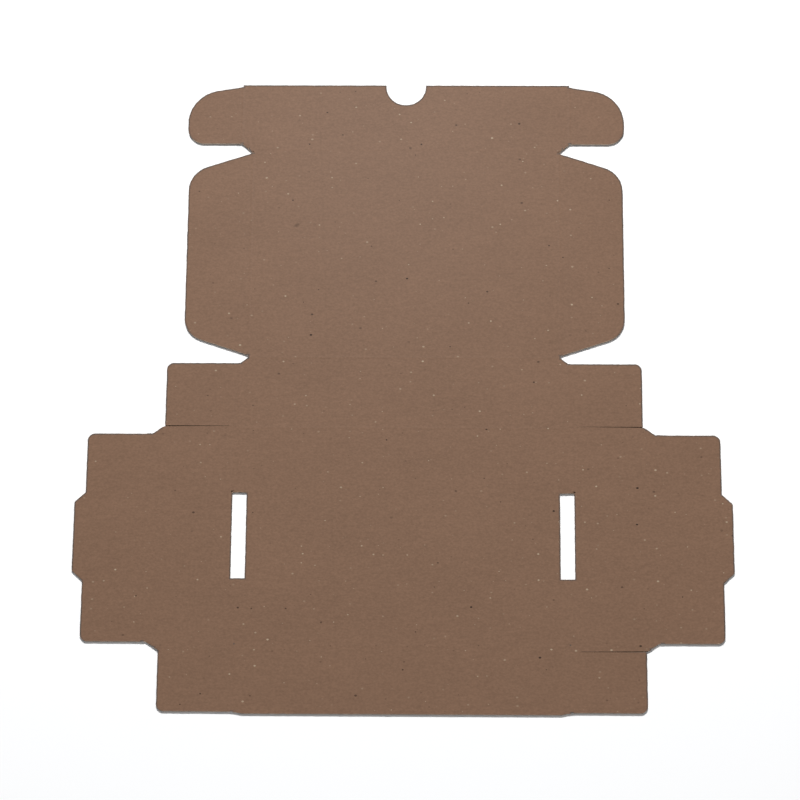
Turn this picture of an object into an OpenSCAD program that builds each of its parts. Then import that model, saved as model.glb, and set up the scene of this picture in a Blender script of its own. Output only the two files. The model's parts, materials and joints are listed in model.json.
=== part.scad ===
// Die-cut mailer box of corrugated board, lying flat as an open blank, inside face up.
// X runs along the box, Y from the front wall to the lid, Z up. The origin is the middle of
// the base panel on its underside. Every panel turns on a crease at half the board's thickness.

/* [Box] */
// Length between the two side creases
box_l = 175; // [130:1:260]
// Width between the front and rear creases
box_w = 112.6; // [100:0.1:180]
// Height of the rear wall, crease to crease
box_h = 37.5; // [32:0.5:60]

/* [Board] */
// Thickness of the corrugated board
board = 1.7; // [1.2:0.1:2.2]
// Play between layers that lie against each other in the closed box
play = 0.25; // [0.15:0.05:0.4]
// Width of a slit that parts two panels
kerf = 0.5; // [0.3:0.1:0.8]

/* [Side walls] */
// Length of the locking tab, from the inner wall's edge
tab_l = 5.4; // [4.5:0.1:7]
// Length of the tab's end along the box's width
tab_w = 35.6; // [24:0.1:44]
// How much wider the tab is at its root, on each side
tab_flare = 5; // [3:0.1:8]
// Light between the inner wall's lower edge and the base
inner_lift = 3.5; // [2:0.1:4]
// Room between each end of the inner wall and the front or rear wall
inner_end_play = 1.55; // [0.5:0.05:4]
// Width of the slot that takes the tab
slot_w = 7; // [6:0.1:7.5]
// Board left between the slot and the side crease
slot_edge = 1.6; // [1.3:0.1:2]
// Room between the tab and each end of the slot
slot_play = 2.6; // [1.5:0.1:5]

/* [Flaps] */
// Length of the dust flaps on the front and rear walls
dust_l = 37.5; // [20:0.5:44]
// How far the front dust flaps end short of the front wall's edge
dust_step = 1; // [0.2:0.1:2]
// Light between the lid's side flaps and the base
lid_flap_lift = 3.45; // [1:0.05:8]
// Taper of the lid's side flaps, as a slope
lid_flap_slope = 0.335; // [0.25:0.001:0.45]
// Length of the ears on the front flap
ear_l = 28.6; // [22:0.1:34]
// How far an ear's edge falls away from the front flap's edge at its root
ear_root_drop = 1.1; // [0.5:0.1:3]
// How far it falls further over the ear's length
ear_fall = 4.7; // [2:0.1:6]
// Radius of the thumb notch
thumb_r = 10.25; // [6:0.25:14]
// Depth of the thumb notch
thumb_deep = 11.2; // [10.5:0.1:16]

/* [Corners] */
// Radius of the inner walls' corners
inner_corner_r = 4; // [2:0.5:8]
// Radius of the dust flaps' corners
dust_corner_r = 3.8; // [2:0.1:8]
// Radius of the lid side flaps' corners next to the front flap
lid_front_corner_r = 14; // [4:0.5:16]
// Radius of the lid side flaps' corners next to the rear wall
lid_rear_corner_r = 12.5; // [4:0.5:14]
// Radius of the ears' round ends
ear_r = 18.5; // [12:0.5:20]
// Radius of the ears' corners on the edge that slides under the rim
ear_corner_r = 9; // [2:0.5:10]
// Radius of the tab's corners
tab_corner_r = 2; // [1:0.1:3]

/* [Hidden] */
$fn = 64;
kraft = "#846958";

// A layer of the closed box takes one pitch: its board and the play beside it
pitch = board + play;
half = board / 2;
// Room that a turning panel's edge needs beside board that stays flat
swing = half + 0.6 * play;

// Creases across the box: base, roll-over rim and tucked-in layers, from the outside in
side_x = box_l / 2;
ear_x = side_x - pitch;
dust_x = side_x - 2 * pitch;
rim_w = 3 * pitch;
lid_flap_x = side_x - 4 * pitch;
side_h = box_h - pitch;
rim_x = side_x + side_h;
inner_x = rim_x + rim_w;
inner_h = side_h - half - inner_lift;
inner_end_x = inner_x + inner_h;
tab_end_x = inner_end_x + tab_l;

// Creases along the box: the front flap closes outside the front wall, one pitch further out
front_y = -box_w / 2;
rear_y = box_w / 2;
lid_y = rear_y + box_h;
lid_d = box_w + pitch;
tuck_y = lid_y + lid_d;

// Ends of the side walls: they cover the front flap's edge, less a small setback
end_setback = 2 * play;
side_front_y = front_y - pitch - half + end_setback;
side_rear_y = rear_y + swing - kerf;
inner_half_l = box_w / 2 - half - inner_end_play;
inner_mid_y = (side_front_y + side_rear_y) / 2;
inner_front_y = inner_mid_y - inner_half_l;
inner_rear_y = inner_mid_y + inner_half_l;
// The rim's ends are cut at a slant that starts just before its crease
slant_lead = 1.5;
slant_x = rim_x - slant_lead;
function slant_y(wall_end_y, end_y) = wall_end_y + (end_y - wall_end_y) * slant_lead / rim_w;

// The tab narrows towards its end, and the slot is as long as the tab is where it meets the base
tab_root_y = tab_w / 2 + tab_flare;
slot_half_l = tab_root_y - tab_flare * inner_lift / tab_l + slot_play;
slot_x = side_x - slot_edge - slot_w;

// Heights of the front wall and dust flaps: they end under the rim
front_h = side_h - half - play;
front_dust_h = front_h - dust_step;
rear_dust_h = side_h - half - play;
dust_end_x = dust_x + dust_l;
// The front wall's edge steps up to its dust flaps over this length
step_run = 5;

// Side flaps of the lid: clear of the rear wall at one end and of the front wall at the other
lid_flap_l = box_h - half - lid_flap_lift;
lid_flap_end_x = lid_flap_x + lid_flap_l;
lid_root_rear_y = lid_y + swing + 0.6 * play;
front_wall_drop = box_h - front_h;
lid_root_front_y = lid_y + box_w - half - play + lid_flap_slope * front_wall_drop;

// Front flap and its ears: the ears' upper edge slides in under the rim
flap_h = box_h - half - play;
flap_end_y = tuck_y + flap_h;
ear_y = tuck_y + pitch + half + play;
ear_end_x = ear_x + ear_l;
// The notch beside the lid runs on a slant from the lid's side flap to the ear
notch_slope = (ear_x - lid_flap_x) / (ear_y - lid_root_front_y);
tuck_x = lid_flap_x + notch_slope * (tuck_y - lid_root_front_y);

// Each crease on the right-hand half or across the middle: start and end point
ACROSS = [
    [[-dust_x, front_y], [dust_x, front_y]],
    [[-dust_x, rear_y], [dust_x, rear_y]],
    [[-lid_flap_x, lid_y], [lid_flap_x, lid_y]],
    [[-tuck_x, tuck_y], [tuck_x, tuck_y]]
];
BESIDE = [
    [[side_x, side_front_y], [side_x, side_rear_y]],
    [[rim_x, side_front_y], [rim_x, side_rear_y]],
    [[inner_x, inner_front_y], [inner_x, inner_rear_y]],
    [[dust_x, front_y - front_h], [dust_x, front_y - swing]],
    [[dust_x, rear_y + swing], [dust_x, rear_y + rear_dust_h]],
    [[lid_flap_x, lid_root_rear_y], [lid_flap_x, lid_root_front_y]],
    [[ear_x, ear_y], [ear_x, flap_end_y]]
];

function unit(v) = v / norm(v);

// What a round corner leaves off a straight one, between two sides that meet there
module corner_cut(before, corner, after, r) {
    u = unit(before - corner);
    v = unit(after - corner);
    half_angle = acos(u * v) / 2;
    reach = r / tan(half_angle);
    centre = corner + unit(u + v) * r / sin(half_angle);
    difference() {
        polygon([corner + u * reach, corner - unit(u + v) * r, corner + v * reach, centre]);
        translate(centre) circle(r);
    }
}

// A panel's outline from its corners, each given as a place and a radius
module outline(corners) {
    n = len(corners);
    places = [for (c = corners) c[0]];
    difference() {
        polygon(places);
        for (i = [0 : n - 1])
            if (corners[i][1] > 0)
                corner_cut(places[(i + n - 1) % n], places[i], places[(i + 1) % n], corners[i][1]);
    }
}

// A score pressed half-way into the inside face along a crease, as wide as the board is thick
module score(ends) {
    w = half + 0.4 * play;
    along_x = ends[0].y == ends[1].y;
    size = along_x ? [ends[1].x - ends[0].x, 2 * w] : [2 * w, ends[1].y - ends[0].y];
    shift = along_x ? [0, -w] : [-w, 0];
    translate([ends[0].x + shift.x, ends[0].y + shift.y, half])
        cube([size.x, size.y, board]);
}

// A sheet of board with the outline given as its child and the scores of the whole blank
module panel() {
    color(kraft) difference() {
        linear_extrude(board) children();
        for (ends = ACROSS) score(ends);
        for (ends = BESIDE) {
            score(ends);
            mirror([1, 0, 0]) score(ends);
        }
    }
}

module left() {
    mirror([1, 0, 0]) children();
}

// Base with the two slots for the tabs; its corners run out along the ends of the side walls
module base_panel() {
    panel() difference() {
        polygon([
            [dust_x, front_y], [side_x, side_front_y], [side_x, side_rear_y], [dust_x, rear_y],
            [-dust_x, rear_y], [-side_x, side_rear_y], [-side_x, side_front_y], [-dust_x, front_y]
        ]);
        for (side = [0, 1]) mirror([side, 0, 0])
            translate([slot_x, -slot_half_l]) square([slot_w, 2 * slot_half_l]);
    }
}

module front_wall() {
    edge_y = front_y - front_h;
    step_y = front_y - front_dust_h;
    panel() polygon([
        [-dust_x, front_y], [-dust_x, step_y], [step_run - dust_x, edge_y],
        [dust_x - step_run, edge_y], [dust_x, step_y], [dust_x, front_y]
    ]);
}

module rear_wall() {
    shoulder_y = rear_y + rear_dust_h;
    panel() polygon([
        [dust_x, rear_y], [dust_x, shoulder_y], [lid_flap_x, lid_y],
        [-lid_flap_x, lid_y], [-dust_x, shoulder_y], [-dust_x, rear_y]
    ]);
}

module lid() {
    panel() polygon([
        [lid_flap_x, lid_y], [lid_flap_x, lid_root_front_y], [tuck_x, tuck_y],
        [-tuck_x, tuck_y], [-lid_flap_x, lid_root_front_y], [-lid_flap_x, lid_y]
    ]);
}

// Front flap of the lid, with the half-round thumb notch in its edge
module front_flap() {
    panel() difference() {
        polygon([
            [tuck_x, tuck_y], [ear_x, ear_y], [ear_x, flap_end_y],
            [-ear_x, flap_end_y], [-ear_x, ear_y], [-tuck_x, tuck_y]
        ]);
        translate([0, flap_end_y - thumb_deep + thumb_r]) circle(thumb_r);
        translate([-thumb_r, flap_end_y - thumb_deep + thumb_r])
            square([2 * thumb_r, thumb_deep]);
    }
}

module side_wall_right() {
    panel() polygon([
        [side_x, side_front_y], [slant_x, side_front_y],
        [rim_x, slant_y(side_front_y, inner_front_y)],
        [rim_x, slant_y(side_rear_y, inner_rear_y)],
        [slant_x, side_rear_y], [side_x, side_rear_y]
    ]);
}

module rim_right() {
    slant_end_x = slant_x + rim_w;
    panel() polygon([
        [rim_x, slant_y(side_front_y, inner_front_y)], [slant_end_x, inner_front_y],
        [inner_x, inner_front_y], [inner_x, inner_rear_y],
        [slant_end_x, inner_rear_y], [rim_x, slant_y(side_rear_y, inner_rear_y)]
    ]);
}

// Inner wall that rolls over and locks with its tab in the base
module inner_wall_right() {
    panel() outline([
        [[inner_x, inner_front_y], 0],
        [[inner_end_x, inner_front_y], inner_corner_r],
        [[inner_end_x, inner_mid_y - tab_root_y], 0],
        [[tab_end_x, inner_mid_y - tab_w / 2], tab_corner_r],
        [[tab_end_x, inner_mid_y + tab_w / 2], tab_corner_r],
        [[inner_end_x, inner_mid_y + tab_root_y], 0],
        [[inner_end_x, inner_rear_y], inner_corner_r],
        [[inner_x, inner_rear_y], 0]
    ]);
}

module front_dust_flap_right() {
    slit_y = side_front_y - kerf;
    edge_y = front_y - front_dust_h;
    panel() outline([
        [[dust_x, front_y - swing], 0], [[dust_x, edge_y], 0],
        [[dust_end_x, edge_y], dust_corner_r], [[dust_end_x, slit_y], 0], [[side_x, slit_y], 0]
    ]);
}

module rear_dust_flap_right() {
    slit_y = side_rear_y + kerf;
    edge_y = rear_y + rear_dust_h;
    panel() outline([
        [[dust_x, slit_y], 0], [[dust_end_x, slit_y], 0],
        [[dust_end_x, edge_y], dust_corner_r], [[dust_x, edge_y], 0]
    ]);
}

module lid_side_flap_right() {
    taper = lid_flap_slope * lid_flap_l;
    panel() outline([
        [[lid_flap_x, lid_root_rear_y], 0],
        [[lid_flap_end_x, lid_root_rear_y + taper], lid_rear_corner_r],
        [[lid_flap_end_x, lid_root_front_y - taper], lid_front_corner_r],
        [[lid_flap_x, lid_root_front_y], 0]
    ]);
}

// Ear of the front flap: a round end, with a straight edge that slides in under the rim
module ear_right() {
    root_y = flap_end_y - ear_root_drop;
    end_y = root_y - ear_fall;
    panel() outline([
        [[ear_x, ear_y], 0],
        [[ear_end_x, ear_y], min(ear_corner_r, end_y - ear_y - 0.9 * ear_r)],
        [[ear_end_x, end_y], ear_r],
        [[ear_x, root_y], 0]
    ]);
}

module side_wall_left() left() side_wall_right();
module rim_left() left() rim_right();
module inner_wall_left() left() inner_wall_right();
module front_dust_flap_left() left() front_dust_flap_right();
module rear_dust_flap_left() left() rear_dust_flap_right();
module lid_side_flap_left() left() lid_side_flap_right();
module ear_left() left() ear_right();

base_panel();
front_wall();
rear_wall();
lid();
front_flap();
side_wall_right();
side_wall_left();
rim_right();
rim_left();
inner_wall_right();
inner_wall_left();
front_dust_flap_right();
front_dust_flap_left();
rear_dust_flap_right();
rear_dust_flap_left();
lid_side_flap_right();
lid_side_flap_left();
ear_right();
ear_left();
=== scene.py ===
import json
import math

import bmesh
import bpy
from mathutils import Matrix, Vector, noise
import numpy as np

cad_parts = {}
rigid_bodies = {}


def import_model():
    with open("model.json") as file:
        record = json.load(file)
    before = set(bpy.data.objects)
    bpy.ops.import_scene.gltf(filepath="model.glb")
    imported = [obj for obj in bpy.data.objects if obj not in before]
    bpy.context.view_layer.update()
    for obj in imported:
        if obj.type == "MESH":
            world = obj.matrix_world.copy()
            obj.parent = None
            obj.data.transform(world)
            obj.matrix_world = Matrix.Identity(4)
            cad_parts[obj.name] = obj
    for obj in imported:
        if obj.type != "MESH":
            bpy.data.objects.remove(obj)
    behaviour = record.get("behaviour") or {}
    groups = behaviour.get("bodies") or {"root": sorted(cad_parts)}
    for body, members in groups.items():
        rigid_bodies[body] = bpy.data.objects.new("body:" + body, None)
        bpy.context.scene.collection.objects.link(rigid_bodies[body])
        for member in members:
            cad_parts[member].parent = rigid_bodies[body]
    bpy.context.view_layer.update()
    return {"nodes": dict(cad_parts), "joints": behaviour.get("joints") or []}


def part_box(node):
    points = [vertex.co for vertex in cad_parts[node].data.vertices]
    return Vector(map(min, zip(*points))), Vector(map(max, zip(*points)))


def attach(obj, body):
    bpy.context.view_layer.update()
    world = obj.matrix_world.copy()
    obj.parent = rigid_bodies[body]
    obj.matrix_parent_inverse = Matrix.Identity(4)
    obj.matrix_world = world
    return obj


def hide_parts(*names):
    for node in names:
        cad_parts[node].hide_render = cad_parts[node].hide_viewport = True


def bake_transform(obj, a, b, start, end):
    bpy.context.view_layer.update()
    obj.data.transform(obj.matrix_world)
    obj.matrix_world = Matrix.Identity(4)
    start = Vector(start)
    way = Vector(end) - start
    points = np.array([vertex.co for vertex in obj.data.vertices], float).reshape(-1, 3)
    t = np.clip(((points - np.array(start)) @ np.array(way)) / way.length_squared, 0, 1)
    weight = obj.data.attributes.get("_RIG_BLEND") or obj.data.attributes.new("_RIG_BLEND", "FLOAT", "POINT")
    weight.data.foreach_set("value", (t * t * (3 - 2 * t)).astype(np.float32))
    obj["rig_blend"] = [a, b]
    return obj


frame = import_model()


# Base panel
# The middle of the blank and the floor of the box, with a slot for a tab at each end. Like the
# whole blank it is recycled corrugated board: two brown liners glued to a fluted sheet, cut out
# in one stroke of a steel-rule die, which leaves the edges crushed. A band along most cut edges
# is painted darker.
mm = 0.001
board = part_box("base_panel")[1].z
liner = 0.23 * mm
medium = 0.2 * mm
flute_pitch = 3.3 * mm
steps_per_flute = 8
# These rings and shares set both how far the edge is crushed and the painted darker band along it.
crush_and_band_rings = (0.52 * mm, 0.3 * mm)
crush_and_band_share = 0.8
crush_depth = 0.1 * mm
crease_half = 0.95 * mm
crease_calm = 1.1 * mm
ragged_depth = 0.24 * mm
ragged_step = 1.2 * mm
long_tear = 2.6 * mm
short_tear = 0.9 * mm
core_setback = 0.2 * mm
rim_setback = 0.08 * mm
rim_depth = 0.5 * mm

kraft_brown = (0.211, 0.1245, 0.0814, 1)
raw_edge_brown = (0.5, 0.41, 0.33, 1)
pale_fibre = (0.47, 0.38, 0.27, 1)
dark_fibre = (0.035, 0.022, 0.017, 1)
# The colour of the darker band painted along the cut edges.
edge_band_brown = (0.1, 0.08, 0.07, 1)
stain_place = (-56.1 * mm, 166 * mm)
press_line_far = (-45.6 * mm, 241.9 * mm)
press_line_near = (-31.4 * mm, -88.7 * mm)
press_line_half = 0.8 * mm


def add_node(tree, kind, place=(0, 0), **settings):
    """A new shader node with its settings."""
    node = tree.nodes.new(kind)
    node.location = place
    for name, value in settings.items():
        setattr(node, name, value)
    return node


def math_node(tree, operation, *values, clamp=False):
    """A Math node whose inputs are numbers or other nodes' outputs."""
    node = add_node(tree, "ShaderNodeMath", operation=operation, use_clamp=clamp)
    for socket, value in zip(node.inputs, values):
        if isinstance(value, (int, float)):
            socket.default_value = value
        else:
            tree.links.new(value, socket)
    return node.outputs[0]


def stretched(tree, place, scale, move=(0, 0, 0)):
    """The place on the board, in pattern steps: a small scale along a direction draws it out."""
    node = add_node(tree, "ShaderNodeMapping")
    tree.links.new(place, node.inputs["Vector"])
    node.inputs["Scale"].default_value = scale
    node.inputs["Location"].default_value = move
    return node.outputs["Vector"]


def mottle(tree, place, scale, detail, move=(0, 0, 0)):
    """Noise about zero, from -0.5 to 0.5."""
    node = add_node(tree, "ShaderNodeTexNoise")
    tree.links.new(stretched(tree, place, scale, move), node.inputs["Vector"])
    node.inputs["Scale"].default_value = 1
    node.inputs["Detail"].default_value = detail
    node.inputs["Roughness"].default_value = 0.55
    return math_node(tree, "SUBTRACT", node.outputs["Fac"], 0.5)


def specks(tree, place, spacing, share, size, move):
    """Scattered flecks: one cell in every few holds one, each of its own size."""
    cells = add_node(tree, "ShaderNodeTexVoronoi", voronoi_dimensions="2D")
    step = 1 / spacing
    tree.links.new(stretched(tree, place, (0.75 * step, step, step), move), cells.inputs["Vector"])
    cells.inputs["Scale"].default_value = 1
    draw = add_node(tree, "ShaderNodeSeparateColor")
    tree.links.new(cells.outputs["Color"], draw.inputs[0])
    chosen = math_node(tree, "LESS_THAN", draw.outputs["Blue"], share)
    grade = math_node(tree, "POWER", draw.outputs["Red"], 2.0)
    reach = math_node(tree, "MULTIPLY_ADD", grade, size / spacing, 0.45 * size / spacing)
    outwards = math_node(tree, "DIVIDE", cells.outputs["Distance"], reach)
    near = math_node(tree, "SUBTRACT", 1.0, outwards)
    body = math_node(tree, "MULTIPLY", near, 2.5, clamp=True)
    body = math_node(tree, "MULTIPLY", body, chosen)
    vivid = math_node(tree, "POWER", draw.outputs["Green"], 2.5)
    strength = math_node(tree, "MULTIPLY_ADD", vivid, 0.65, 0.15)
    return math_node(tree, "MULTIPLY", body, strength)


def mixed(tree, share, first, second):
    """One colour laid over another by a share."""
    node = add_node(tree, "ShaderNodeMix", data_type="RGBA")
    sockets = (node.inputs[0], node.inputs[6], node.inputs[7])
    for socket, value in zip(sockets, (share, first, second)):
        if isinstance(value, (int, float, tuple)):
            socket.default_value = value
        else:
            tree.links.new(value, socket)
    return node.outputs[2]


def recycled_fibre_group():
    """Recycled paper: short fibres, clouds, and pale and dark flecks of what it was before."""
    group = bpy.data.node_groups.new("recycled_fibre", "ShaderNodeTree")
    face = group.interface
    face.new_socket("Paper", in_out="INPUT", socket_type="NodeSocketColor")
    face.new_socket("Place", in_out="INPUT", socket_type="NodeSocketVector")
    face.new_socket("Flecks", in_out="INPUT", socket_type="NodeSocketFloat")
    face.new_socket("Colour", in_out="OUTPUT", socket_type="NodeSocketColor")
    face.new_socket("Height", in_out="OUTPUT", socket_type="NodeSocketFloat")
    given = add_node(group, "NodeGroupInput").outputs
    place = given["Place"]
    grain = mottle(group, place, (820, 1150, 1000), 2)
    streaks = mottle(group, place, (150, 700, 400), 3, (3, 7, 1))
    clouds = mottle(group, place, (22, 40, 30), 3, (5, 2, 4))
    tone = math_node(group, "MULTIPLY_ADD", grain, 0.52, 1.0)
    tone = math_node(group, "MULTIPLY_ADD", streaks, 0.16, tone)
    tone = math_node(group, "MULTIPLY_ADD", clouds, 0.14, tone)
    paper = add_node(group, "ShaderNodeVectorMath", operation="SCALE")
    group.links.new(given["Paper"], paper.inputs[0])
    group.links.new(tone, paper.inputs["Scale"])
    pale = specks(group, place, 4.4 * mm, 0.24, 0.4 * mm, (0.3, 0.1, 0))
    dark = specks(group, place, 6.2 * mm, 0.16, 0.46 * mm, (7.7, 3.9, 0))
    pale = math_node(group, "MULTIPLY", pale, given["Flecks"])
    dark = math_node(group, "MULTIPLY", dark, given["Flecks"])
    dark = math_node(group, "MULTIPLY", dark, 1.45, clamp=True)
    colour = mixed(group, pale, paper.outputs[0], pale_fibre)
    colour = mixed(group, dark, colour, dark_fibre)
    height = math_node(group, "MULTIPLY_ADD", streaks, 0.5, grain)
    done = add_node(group, "NodeGroupOutput").inputs
    group.links.new(colour, done["Colour"])
    group.links.new(height, done["Height"])
    return group


recycled_fibre = recycled_fibre_group()


def board_paper(name, colour, flecks):
    """A sheet of recycled paper, matt, with its fibres standing up a little."""
    material = bpy.data.materials.new(name)
    material.use_nodes = True
    tree = material.node_tree
    paper = tree.nodes["Principled BSDF"]
    fibre = add_node(tree, "ShaderNodeGroup", (-300, 0))
    fibre.node_tree = recycled_fibre
    fibre.inputs["Paper"].default_value = colour
    fibre.inputs["Flecks"].default_value = flecks
    where = add_node(tree, "ShaderNodeTexCoord", (-700, 0))
    bump = add_node(tree, "ShaderNodeBump", (-300, -300))
    bump.inputs["Strength"].default_value = 0.3
    bump.inputs["Distance"].default_value = 0.06 * mm
    tree.links.new(where.outputs["Object"], fibre.inputs["Place"])
    tree.links.new(fibre.outputs["Colour"], paper.inputs["Base Color"])
    tree.links.new(fibre.outputs["Height"], bump.inputs["Height"])
    tree.links.new(bump.outputs["Normal"], paper.inputs["Normal"])
    paper.inputs["Roughness"].default_value = 0.3
    paper.inputs["Specular IOR Level"].default_value = 0.011
    return material


def mark_liner(material):
    """What the liner picked up: one stain and a faint pressed line. A band along most cut edges is painted
    darker.
    """
    tree = material.node_tree
    paper = tree.nodes["Principled BSDF"]
    plain = paper.inputs["Base Color"].links[0].from_socket
    place = tree.nodes["Texture Coordinate"].outputs["Object"]
    spot = add_node(tree, "ShaderNodeSeparateXYZ")
    tree.links.new(place, spot.inputs[0])
    x, y = spot.outputs["X"], spot.outputs["Y"]
    # A darker band painted along the cut edges, patchy, and left off the front edges and the slits.
    edge = add_node(tree, "ShaderNodeAttribute", attribute_name="cut_edge")
    blotches = mottle(tree, place, (300, 300, 300), 2, (1, 4, 2))
    patchy = math_node(tree, "MULTIPLY_ADD", blotches, 1.6, 0.86)
    dark_band = math_node(tree, "MULTIPLY", edge.outputs["Fac"], patchy, clamp=True)
    plain = mixed(tree, dark_band, plain, edge_band_brown)
    aside = math_node(tree, "SUBTRACT", x, stain_place[0])
    ahead = math_node(tree, "SUBTRACT", y, stain_place[1])
    slant = math_node(tree, "MULTIPLY_ADD", ahead, 0.6, aside)
    across = math_node(tree, "MULTIPLY_ADD", aside, -0.6, ahead)
    narrow = math_node(tree, "MULTIPLY", across, 1.9)
    far_off = math_node(tree, "MULTIPLY_ADD", narrow, narrow, math_node(tree, "MULTIPLY", slant, slant))
    far_off = math_node(tree, "SQRT", far_off)
    ragged = mottle(tree, place, (420, 520, 400), 2)
    size = math_node(tree, "MULTIPLY_ADD", ragged, 5.5 * mm, 2.7 * mm)
    inside = math_node(tree, "SUBTRACT", 1.0, math_node(tree, "DIVIDE", far_off, size))
    stain = math_node(tree, "MULTIPLY", inside, 1.6, clamp=True)
    worn = math_node(tree, "MULTIPLY_ADD", stain, -0.36, 1.0)
    lean = (press_line_far[0] - press_line_near[0]) / (press_line_far[1] - press_line_near[1])
    from_near = math_node(tree, "SUBTRACT", y, press_line_near[1])
    on_line = math_node(tree, "MULTIPLY_ADD", from_near, lean, press_line_near[0])
    off_line = math_node(tree, "ABSOLUTE", math_node(tree, "SUBTRACT", x, on_line))
    pressed = math_node(tree, "DIVIDE", off_line, press_line_half)
    pressed = math_node(tree, "SUBTRACT", 1.0, pressed, clamp=True)
    worn = math_node(tree, "MULTIPLY", worn, math_node(tree, "MULTIPLY_ADD", pressed, -0.035, 1.0))
    marked = add_node(tree, "ShaderNodeVectorMath", operation="SCALE")
    tree.links.new(plain, marked.inputs[0])
    tree.links.new(worn, marked.inputs["Scale"])
    tree.links.new(marked.outputs[0], paper.inputs["Base Color"])


liner_paper = board_paper("kraft_liner", kraft_brown, 1.0)
mark_liner(liner_paper)
raw_edge_paper = board_paper("raw_edge", raw_edge_brown, 0.0)

slit_root = 0.995 * mm
tip_room = 0.495 * mm
slit_lead = 5 * mm
slit_tail = 0.3 * mm
slit_near = 2.6 * mm
slit_inset = 0.12
slit_room = {
    "front_left": (0.495 * mm, 0.485 * mm),
    "front_right": (0.33 * mm, 0.01 * mm),
    "rear_left": (0.33 * mm, 0.01 * mm),
    "rear_right": (0.38 * mm, 0.04 * mm),
}
outlines = {}


def slit_line(side, way):
    """A slit's place along the width, and where it starts and ends along the box."""
    low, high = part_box("side_wall_" + side)
    flap_low, flap_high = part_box(("front" if way < 0 else "rear") + "_dust_flap_" + side)
    start = low.x if side == "right" else high.x
    end = flap_high.x if side == "right" else flap_low.x
    return (low.y if way < 0 else high.y), start, end


slit_lines = {(side, way): slit_line(side, way) for side in ("left", "right") for way in (-1, 1)}


def vert_at(bm, x, y):
    return min(bm.verts, key=lambda vert: abs(vert.co.x - x) + abs(vert.co.y - y))


def close_slit(bm, node, side, way):
    """The knife parts the board and takes none away, so the ends beside a slit reach up to it."""
    hand = 1 if side == "right" else -1
    room = slit_room[("front_" if way < 0 else "rear_") + side]
    wall_end, wall_root = slit_lines[side, way][:2]
    beyond = wall_root + hand * crease_half
    added = []
    if node == "base_panel":
        front_low, front_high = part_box("front_wall" if way < 0 else "rear_wall")
        crease = front_high.y if way < 0 else front_low.y
        crease_end = hand * front_high.x
        corner = vert_at(bm, crease_end, crease)
        wall = vert_at(bm, wall_root, wall_end)
        root = bm.verts.new((crease_end, crease + way * slit_root, 0))
        tip = bm.verts.new((wall_root, wall_end + way * tip_room, 0))
        tongue_side = bm.verts.new((beyond, wall_end, 0))
        tongue_end = bm.verts.new((beyond, wall_end + way * tip_room, 0))
        added = [(corner, root, tip, wall), (wall, tip, tongue_end, tongue_side)]
    elif node == "side_wall_" + side:
        cut_through(bm, 0, beyond)
        end_row = [v for v in bm.verts if abs(v.co.y - wall_end) < 0.01 * mm]
        end_row.sort(key=lambda vert: abs(vert.co.x))
        near = bm.verts.new((beyond, wall_end + way * room[0], 0))
        far = bm.verts.new((end_row[-1].co.x, wall_end + way * room[1], 0))
        added = [end_row[1:] + [far, near]]
    for outline in added:
        lip = bm.faces.new(outline)
        lip.normal_update()
        if lip.normal.z < 0:
            lip.normal_flip()


def flat_outline(node):
    """A panel's outline as a flat sheet of faces that look up."""
    if node in outlines:
        return outlines[node]
    bm = bmesh.new()
    bm.from_mesh(frame["nodes"][node].data)
    bmesh.ops.remove_doubles(bm, verts=bm.verts, dist=0.001 * mm)
    bm.normal_update()
    others = [f for f in bm.faces if f.normal.z > -0.9 or f.calc_center_median().z > board / 4]
    bmesh.ops.delete(bm, geom=others, context="FACES")
    bmesh.ops.reverse_faces(bm, faces=bm.faces)
    for side in ("left", "right"):
        for way in (-1, 1):
            close_slit(bm, node, side, way)
    bmesh.ops.triangulate(bm, faces=bm.faces)
    outlines[node] = bm
    return bm


def crease_place(joint):
    """A crease's direction (0 along X, 1 along Y), its line across that, and its two ends."""
    along = 0 if abs(joint["axis"][0]) > 0.5 else 1
    line = joint["pos_m"][1 - along]
    lows, highs = [], []
    for node in (joint["parent"], joint["child"]):
        corners = [v.co for v in flat_outline(node).verts]
        on_line = [c[along] for c in corners if abs(c[1 - along] - line) < 0.01 * mm]
        lows.append(min(on_line))
        highs.append(max(on_line))
    return along, line, max(lows), min(highs)


def creases_of(node):
    """The creases along a panel's sides."""
    return [joint for joint in frame["joints"] if node in (joint["parent"], joint["child"])]


def cut_through(bm, axis, place):
    """Cuts a flat sheet through at one place along X (0) or Y (1)."""
    normal = Vector((0, 0, 0))
    normal[axis] = 1
    bmesh.ops.bisect_plane(bm, geom=bm.verts[:] + bm.edges[:] + bm.faces[:], dist=0.0001 * mm,
                           plane_co=normal * place, plane_no=normal)


def beside_slit(place):
    """Whether a place lies along one of the four slits."""
    for line, start, end in slit_lines.values():
        along = abs(start) - slit_lead < abs(place.x) < abs(end) - slit_tail
        if along and place.x * end > 0 and abs(place.y - line) < slit_near:
            return True
    return False


def outline_loops(node):
    """The panel's outline as rings of points, with the board always to the left."""
    following = {}
    for edge in flat_outline(node).edges:
        if edge.is_boundary:
            loop = edge.link_loops[0]
            following[loop.vert] = loop.link_loop_next.vert
    loops = []
    while following:
        start, vert = following.popitem()
        points = [start.co.copy()]
        while vert != start:
            points.append(vert.co.copy())
            vert = following.pop(vert)
        loops.append(points)
    return loops


def ways_in(points):
    """From each point of a ring, the way into the board, equally far from both sides."""
    ways = []
    for before, here, after in zip(points[-1:] + points[:-1], points, points[1:] + points[:1]):
        first = Vector((before.y - here.y, here.x - before.x, 0)).normalized()
        second = Vector((here.y - after.y, after.x - here.x, 0)).normalized()
        middle = (first + second).normalized()
        ways.append(middle / max(middle.dot(first), 0.6))
    return ways


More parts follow.
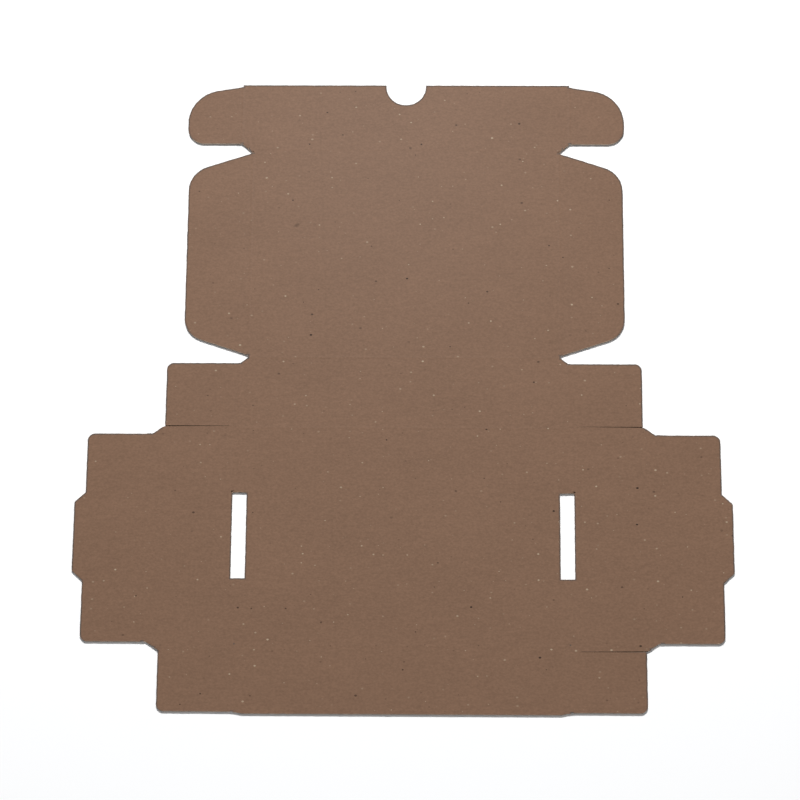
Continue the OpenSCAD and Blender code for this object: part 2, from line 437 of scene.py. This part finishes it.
def fray(points, node):
    """The die tears the last fibres, so a cut edge wanders inwards by a hair's breadth."""
    lines = [crease_place(joint)[:2] for joint in creases_of(node)]
    fine = []
    for here, after in zip(points, points[1:] + points[:1]):
        steps = int((after - here).length / ragged_step) + 1
        fine += [here.lerp(after, step / steps) for step in range(steps)]
    frayed = []
    for point, way in zip(fine, ways_in(fine)):
        wander = 0.5 + 0.5 * noise.noise(point / long_tear) + 0.3 * noise.noise(point / short_tear)
        if beside_slit(point) or any(abs(point[1 - run] - line) < crease_calm for run, line in lines):
            wander = 0
        frayed.append(point + way.normalized() * ragged_depth * min(max(wander, 0), 1))
    return frayed


def crush_and_dark_band(point, way):
    """How far the board is crushed here, and how dark its edge band is painted: not at all beside a slit or
    along a front edge.
    """
    return 0 if beside_slit(point) else min(max(1 - 1.1 * way.normalized().y, 0), 1)


def ring_rows(bm, points, widths):
    """Rows of points along a ring, each at its distance from the edge, but close to it at a slit."""
    ways = []
    for point, way in zip(points, ways_in(points)):
        ways.append(way * slit_inset if beside_slit(point) else way)
    rows = []
    for width in widths:
        rows.append([bm.verts.new(point + way * width) for point, way in zip(points, ways)])
    return rows


def neighbours(row):
    """Each item of a ring with the one after it."""
    return zip(row, row[1:] + row[:1])


def liner_sheet(node):
    """A liner, flat: two rings along the frayed outline hold how far it is crushed and how dark its edge
    band is painted.
    """
    bm = bmesh.new()
    edge_share = bm.verts.layers.float.new("cut_edge")
    inside = []
    for loop in outline_loops(node):
        points = fray(loop, node)
        rows = ring_rows(bm, points, (0, crush_and_band_rings[0], sum(crush_and_band_rings)))
        for row, share in zip(rows, (1, crush_and_band_share, 0)):
            for vert, point, way in zip(row, points, ways_in(points)):
                vert[edge_share] = share * crush_and_dark_band(point, way)
        for outer, inner in zip(rows, rows[1:]):
            for (a, b), (c, d) in zip(neighbours(outer), neighbours(inner)):
                bm.faces.new((a, b, d, c))
        inside += [bm.edges.get(pair) for pair in neighbours(rows[-1])]
    bmesh.ops.triangle_fill(bm, use_beauty=True, edges=inside, normal=(0, 0, 1))
    leave_out_creases(bm, node)
    return bm


def fluted_sheet(node):
    """The sheet between the liners, torn a little further back, with a fold line at each step."""
    bm = bmesh.new()
    bm.verts.layers.float.new("cut_edge")
    inside = []
    for loop in outline_loops(node):
        row = ring_rows(bm, loop, (core_setback,))[0]
        inside += [bm.edges.new(pair) for pair in neighbours(row)]
    bmesh.ops.triangle_fill(bm, use_beauty=True, edges=inside, normal=(0, 0, 1))
    leave_out_creases(bm, node)
    step = flute_pitch / steps_per_flute
    ys = [v.co.y for v in bm.verts]
    for count in range(math.ceil(min(ys) / step), math.floor(max(ys) / step) + 1):
        cut_through(bm, 1, count * step)
    return bm


def pressed_rim(node):
    """Where the knife ran along the flutes it pressed the last one shut, to a rough brown rim."""
    bm = bmesh.new()
    bm.verts.layers.float.new("cut_edge")
    for loop in outline_loops(node):
        outer, inner = ring_rows(bm, fray(loop, node), (rim_setback, rim_setback + rim_depth))
        for (a, b), (c, d) in zip(neighbours(outer), neighbours(inner)):
            run = b.co - a.co
            if abs(run.x) > 0.7 * run.length and not beside_slit(a.co):
                bm.faces.new((a, b, d, c))
    bmesh.ops.delete(bm, geom=[v for v in bm.verts if not v.link_faces], context="VERTS")
    leave_out_creases(bm, node)
    return bm


def leave_out_creases(bm, node):
    """Takes the bands along the panel's creases away, because they bend."""
    low_corner, high_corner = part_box(node)
    middle = (low_corner + high_corner) / 2
    for joint in creases_of(node):
        along, line, low, high = crease_place(joint)
        across = 1 - along
        side = 1 if middle[across] > line else -1
        cut_through(bm, across, line + side * crease_half)
        cut_through(bm, along, low)
        cut_through(bm, along, high)
        band = []
        for face in bm.faces:
            centre = face.calc_center_median()
            if low < centre[along] < high and abs(centre[across] - line) < crease_half:
                band.append(face)
        bmesh.ops.delete(bm, geom=band, context="FACES")


def thicken(sheet, under, over):
    """A flat sheet with its thickness: the heights of its two faces depend on the place."""
    bm = sheet.copy()
    edge_share = bm.verts.layers.float["cut_edge"]
    made = bmesh.ops.extrude_face_region(bm, geom=bm.faces[:])
    upper = set(g for g in made["geom"] if isinstance(g, bmesh.types.BMVert))
    for vert in bm.verts:
        height = over if vert in upper else under
        vert.co.z = height(vert.co.y, vert[edge_share])
    bmesh.ops.recalc_face_normals(bm, faces=bm.faces)
    bm.normal_update()
    return bm


def lower_liner_top(y, edge_share):
    return liner


def upper_liner_under(y, edge_share):
    return board - liner - crush_depth * edge_share


def flute_middle(y, edge_share):
    low = lower_liner_top(y, edge_share) + medium / 2
    high = upper_liner_under(y, edge_share) - medium / 2
    return low + (high - low) * (0.5 + 0.5 * math.sin(math.tau * y / flute_pitch))


def board_panel(node):
    """One panel of the blank: both liners and the fluted sheet between them."""
    sheet = liner_sheet(node)
    fluted = fluted_sheet(node)
    rim = pressed_rim(node)
    layers = [
        thicken(sheet, lambda y, c: 0, lower_liner_top),
        thicken(sheet, upper_liner_under, lambda y, c: board - crush_depth * c),
        thicken(fluted, lambda y, c: flute_middle(y, c) - medium / 2,
                lambda y, c: flute_middle(y, c) + medium / 2),
        thicken(rim, lower_liner_top, upper_liner_under),
    ]
    whole = bmesh.new()
    for number, layer in enumerate(layers):
        for face in layer.faces:
            raw = number > 1 or abs(face.normal.z) < 0.5
            face.material_index = 1 if raw else 0
        spare = bpy.data.meshes.new("layer")
        layer.to_mesh(spare)
        whole.from_mesh(spare)
        bpy.data.meshes.remove(spare)
        layer.free()
    mesh = bpy.data.meshes.new(node + "_board")
    whole.to_mesh(mesh)
    for bm in (whole, sheet, fluted, rim):
        bm.free()
    mesh.materials.append(liner_paper)
    mesh.materials.append(raw_edge_paper)
    piece = bpy.data.objects.new(node + "_board", mesh)
    bpy.context.scene.collection.objects.link(piece)
    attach(piece, node)
    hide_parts(node)
    return piece


board_panel("base_panel")


# Front wall and its dust flaps
# The low wall along the front of the box, of the same board. A short flap at each end folds in
# behind the side wall, and slits part the flaps from the side walls.
board_panel("front_wall")
board_panel("front_dust_flap_left")
board_panel("front_dust_flap_right")


# Rear wall and its dust flaps
# The wall that carries the lid, of the same board, with a round-cornered flap at each end that
# folds in behind the side wall.
board_panel("rear_wall")
board_panel("rear_dust_flap_left")
board_panel("rear_dust_flap_right")


# Side walls that roll over
# At each end of the base an outer wall, a narrow rim and an inner wall are one run of board. The
# inner wall folds down inside, and its tab snaps into the slot in the base, with no glue.
for side in ("left", "right"):
    board_panel("side_wall_" + side)
    board_panel("rim_" + side)
    board_panel("inner_wall_" + side)


# Lid and its side flaps
# The top of the box, hinged on the rear wall's edge. Its tapered side flaps slide down inside the
# inner walls; slanted notches at their ends give them room.
board_panel("lid")
board_panel("lid_side_flap_left")
board_panel("lid_side_flap_right")


# Front flap and its ears
# The lid's front edge folds down outside the front wall. A half-round thumb notch is cut into its
# edge, and its round ears slide in behind the side walls.
board_panel("front_flap")
board_panel("ear_left")
board_panel("ear_right")


# Creases
# Where two panels meet, a blunt steel rule pressed a line into the board. It crushes the flutes
# to a soft band that can bend, with a groove outside and a faint bead on the inside face.
crease_columns = 12
crease_row = 6 * mm
bead_height = 0.015 * mm
groove_depth = 0.4 * mm
end_undercut = 0.25 * mm


def reach_at(node, along, place):
    """How far a panel reaches, along a crease's direction, on a line beside the crease."""
    across = 1 - along
    found = []
    for edge in flat_outline(node).edges:
        p, q = edge.verts[0].co, edge.verts[1].co
        if (p[across] - place) * (q[across] - place) <= 0 and abs(p[across] - q[across]) > 1e-9:
            share = (place - p[across]) / (q[across] - p[across])
            found.append(p[along] + share * (q[along] - p[along]))
    return min(found), max(found)


def crease_band(joint):
    """The soft band along a crease, which bends from one panel to the other."""
    along, line, low, high = crease_place(joint)
    across = 1 - along
    child_low, child_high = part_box(joint["child"])
    side = 1 if (child_low[across] + child_high[across]) / 2 > line else -1
    rows = round((high - low) / crease_row) + 4
    bm = bmesh.new()
    bmesh.ops.create_grid(bm, x_segments=crease_columns, y_segments=rows, size=1)
    edge_share = bm.verts.layers.float.new("cut_edge")
    inset = (0, crush_and_band_rings[0], sum(crush_and_band_rings))
    undercut = {}
    for vert in bm.verts:
        beside = vert.co.x * crease_half
        start, end = low, high
        if abs(beside) > 0.01 * mm:
            owner = joint["child"] if beside * side > 0 else joint["parent"]
            owner_start, owner_end = reach_at(owner, along, line + 0.999 * beside)
            start, end = max(owner_start, low), min(owner_end, high)
        row = round((vert.co.y + 1) / 2 * rows)
        from_end = min(row, rows - row)
        if from_end == 0:
            undercut[vert] = end_undercut if row == 0 else -end_undercut
        if row < 3:
            place = start + inset[row]
        elif rows - row < 3:
            place = end - inset[rows - row]
        else:
            share = (row - 2) / (rows - 4)
            place = start + inset[2] + share * (end - start - 2 * inset[2])
        spot = Vector((0, 0, 0))
        spot[along] = place
        spot[across] = line + beside
        # The band's ends take the crush and the painted darker edge band as well.
        vert[edge_share] = 0 if beside_slit(spot) else (1, crush_and_band_share, 0)[min(from_end, 2)]
        vert.co = spot
    made = bmesh.ops.extrude_face_region(bm, geom=bm.faces[:])
    upper = set(g for g in made["geom"] if isinstance(g, bmesh.types.BMVert))
    for vert in bm.verts:
        from_line = abs(vert.co[across] - line) / crease_half
        swell = (1 - from_line ** 2) ** 2
        if vert in upper:
            vert.co.z = board + bead_height * swell
        else:
            vert.co.z = groove_depth * swell ** 2
            vert.co[along] += undercut.get(vert, 0)
    bmesh.ops.recalc_face_normals(bm, faces=bm.faces)
    for face in bm.faces:
        level = abs(face.normal.z) > 0.6
        face.smooth = level
        face.material_index = 0 if level else 1
    for edge in bm.edges:
        edge.smooth = edge.calc_face_angle(0) < 0.6
    mesh = bpy.data.meshes.new(joint["child"] + "_crease")
    bm.to_mesh(mesh)
    bm.free()
    mesh.materials.append(liner_paper)
    mesh.materials.append(raw_edge_paper)
    piece = bpy.data.objects.new(joint["child"] + "_crease", mesh)
    bpy.context.scene.collection.objects.link(piece)
    ends = []
    for way in (-1, 1):
        spot = Vector((0, 0, board / 2))
        spot[along] = (low + high) / 2
        spot[across] = line + way * side * crease_half
        ends.append(tuple(spot))
    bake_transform(piece, joint["parent"], joint["child"], start=ends[0], end=ends[1])


for joint in frame["joints"]:
    crease_band(joint)


# Studio
# A matt white table that glows a little towards the eye, so that it looks white. A soft lamp beyond
# the far edge makes short shadows at the front, and a weak one in front lights the near sides.
def seen_rays(tree):
    """1 for what the eye sees, also in gloss and glass, and 0 for light that falls on the box."""
    rays = add_node(tree, "ShaderNodeLightPath").outputs
    seen = math_node(tree, "MAXIMUM", rays["Is Camera Ray"], rays["Is Glossy Ray"])
    return math_node(tree, "MAXIMUM", seen, rays["Is Transmission Ray"])


floor_mesh = bpy.data.meshes.new("floor")
bm = bmesh.new()
bmesh.ops.create_grid(bm, x_segments=1, y_segments=1, size=4)
bmesh.ops.translate(bm, verts=bm.verts, vec=(0, 0, -0.05 * mm))
bm.to_mesh(floor_mesh)
bm.free()
floor = bpy.data.objects.new("floor", floor_mesh)
bpy.context.scene.collection.objects.link(floor)
table_white = bpy.data.materials.new("table_white")
table_white.use_nodes = True
tree = table_white.node_tree
tree.nodes.remove(tree.nodes["Principled BSDF"])
out = tree.nodes["Material Output"]
matt = add_node(tree, "ShaderNodeBsdfDiffuse")
matt.inputs["Color"].default_value = (0.93, 0.93, 0.93, 1)
glow = add_node(tree, "ShaderNodeEmission")
glow.inputs["Color"].default_value = (0.92, 0.95, 1, 1)
seen = seen_rays(tree)
where = add_node(tree, "ShaderNodeTexCoord")
outwards = add_node(tree, "ShaderNodeVectorMath", operation="LENGTH")
tree.links.new(where.outputs["Object"], outwards.inputs[0])
spread = add_node(tree, "ShaderNodeMapRange", interpolation_type="SMOOTHSTEP")
tree.links.new(outwards.outputs["Value"], spread.inputs["Value"])
spread.inputs["From Min"].default_value = 0.3
spread.inputs["From Max"].default_value = 0.7
spread.inputs["To Min"].default_value = 0.11
spread.inputs["To Max"].default_value = 1
tree.links.new(math_node(tree, "MULTIPLY", seen, spread.outputs["Result"]), glow.inputs["Strength"])
both = add_node(tree, "ShaderNodeAddShader")
tree.links.new(matt.outputs[0], both.inputs[0])
tree.links.new(glow.outputs[0], both.inputs[1])
tree.links.new(both.outputs[0], out.inputs["Surface"])
floor_mesh.materials.append(table_white)

world = bpy.data.worlds.new("studio")
bpy.context.scene.world = world
world.use_nodes = True
tree = world.node_tree
sky = tree.nodes["Background"]
seen = seen_rays(tree)
tree.links.new(math_node(tree, "MULTIPLY_ADD", seen, 0.92, 0.08), sky.inputs["Strength"])
tree.links.new(mixed(tree, seen, (0.9, 0.95, 1, 1), (1, 1, 1, 1)), sky.inputs["Color"])


def soft_lamp(name, place, aim, size, power):
    """A round soft lamp that faces a point."""
    lamp = bpy.data.lights.new(name, "AREA")
    lamp.shape = "DISK"
    lamp.size = size
    lamp.energy = power
    lamp_object = bpy.data.objects.new(name, lamp)
    turn = (Vector(aim) - Vector(place)).to_track_quat("-Z", "Y")
    lamp_object.matrix_world = Matrix.Translation(place) @ turn.to_matrix().to_4x4()
    bpy.context.scene.collection.objects.link(lamp_object)


blank_middle = (0, 0.07, 0)
soft_lamp("key", place=(-0.055, 1.05, 1.92), aim=blank_middle, size=0.35, power=50)
soft_lamp("fill", place=(0.3, -1.9, 0.35), aim=blank_middle, size=0.8, power=6)


# Camera
# A long lens high above the front of the table. It looks down at the blank, tilted a little from
# straight above, and stands where the photograph was taken from.
lens = bpy.data.cameras.new("camera")
lens.sensor_width = 36
lens.lens = 130.5
camera = bpy.data.objects.new("camera", lens)
right = Vector((0.99989472, 0.00748779, -0.01242887))
up = Vector((-0.00339458, 0.95350758, 0.30134991))
back = right.cross(up)
turn = Matrix((right, up, back)).transposed().to_4x4()
camera.matrix_world = Matrix.Translation((0.018799, -0.372595, 1.405983)) @ turn
bpy.context.scene.collection.objects.link(camera)
bpy.context.scene.camera = camera
bpy.context.scene.view_settings.view_transform = "Standard"
